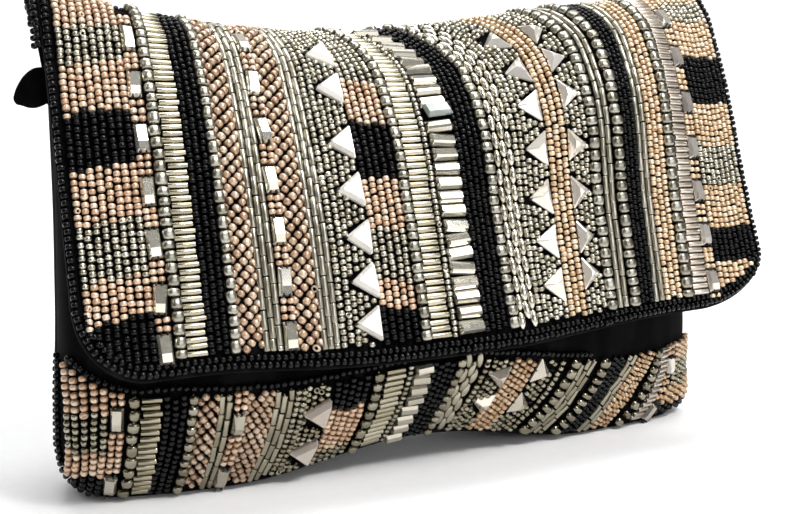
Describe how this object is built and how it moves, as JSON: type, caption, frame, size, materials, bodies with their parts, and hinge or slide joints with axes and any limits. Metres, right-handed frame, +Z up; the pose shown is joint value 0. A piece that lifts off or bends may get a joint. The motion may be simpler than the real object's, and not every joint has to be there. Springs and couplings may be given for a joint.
{
  "type": "beaded evening clutch",
  "caption": "Soft fold-over evening clutch of black velvet, its hanging flap and lower front covered in stripes of beads, bugles and faceted stones.",
  "frame": {"origin": "middle of the whole object's box, on the surface that it stands on", "axes": "+Z up, +X along the clutch's width, to the right of someone who faces the beaded front, which faces -Y"},
  "size_m": [0.2378, 0.0804, 0.15],
  "materials": {
    "velvet": "black cut-pile velvet",
    "seed_beads": "rows of small glass beads in black, peach and pewter",
    "peach_beads": "satin peach glass beads",
    "bugle_beads": "lustre champagne tube beads",
    "foiled_stones": "clear faceted stones with a silver foil behind",
    "mirror_stones": "faceted mirror triangles"
  },
  "bodies": {
    "root": {"front_panel": "velvet", "back_panel": "velvet", "flap": "velvet", "strap_tab": "velvet", "flap_beads_left_block": "seed_beads", "flap_beads_left_bugles": "bugle_beads", "flap_beads_rope": "peach_beads", "flap_beads_middle_block": "seed_beads", "flap_beads_rice": "bugle_beads", "flap_beads_peach": "peach_beads", "flap_beads_right_bugles": "bugle_beads", "flap_beads_right_block": "seed_beads", "flap_baguettes_left": "foiled_stones", "flap_baguettes_middle": "foiled_stones", "flap_baguettes_ladder": "foiled_stones", "flap_baguettes_right": "foiled_stones", "flap_triangles_left": "mirror_stones", "flap_triangles_middle": "mirror_stones", "flap_triangles_right": "mirror_stones", "front_beads_left_block": "seed_beads", "front_beads_left_bugles": "bugle_beads", "front_beads_rope": "peach_beads", "front_beads_middle_block": "seed_beads", "front_beads_rice": "bugle_beads", "front_beads_peach": "peach_beads", "front_beads_right_bugles": "bugle_beads", "front_beads_right_block": "seed_beads", "front_baguettes_left": "foiled_stones", "front_baguettes_middle": "foiled_stones", "front_baguettes_ladder": "foiled_stones", "front_baguettes_right": "foiled_stones", "front_triangles_left": "mirror_stones", "front_triangles_middle": "mirror_stones", "front_triangles_right": "mirror_stones"}
  },
  "joints": []
}
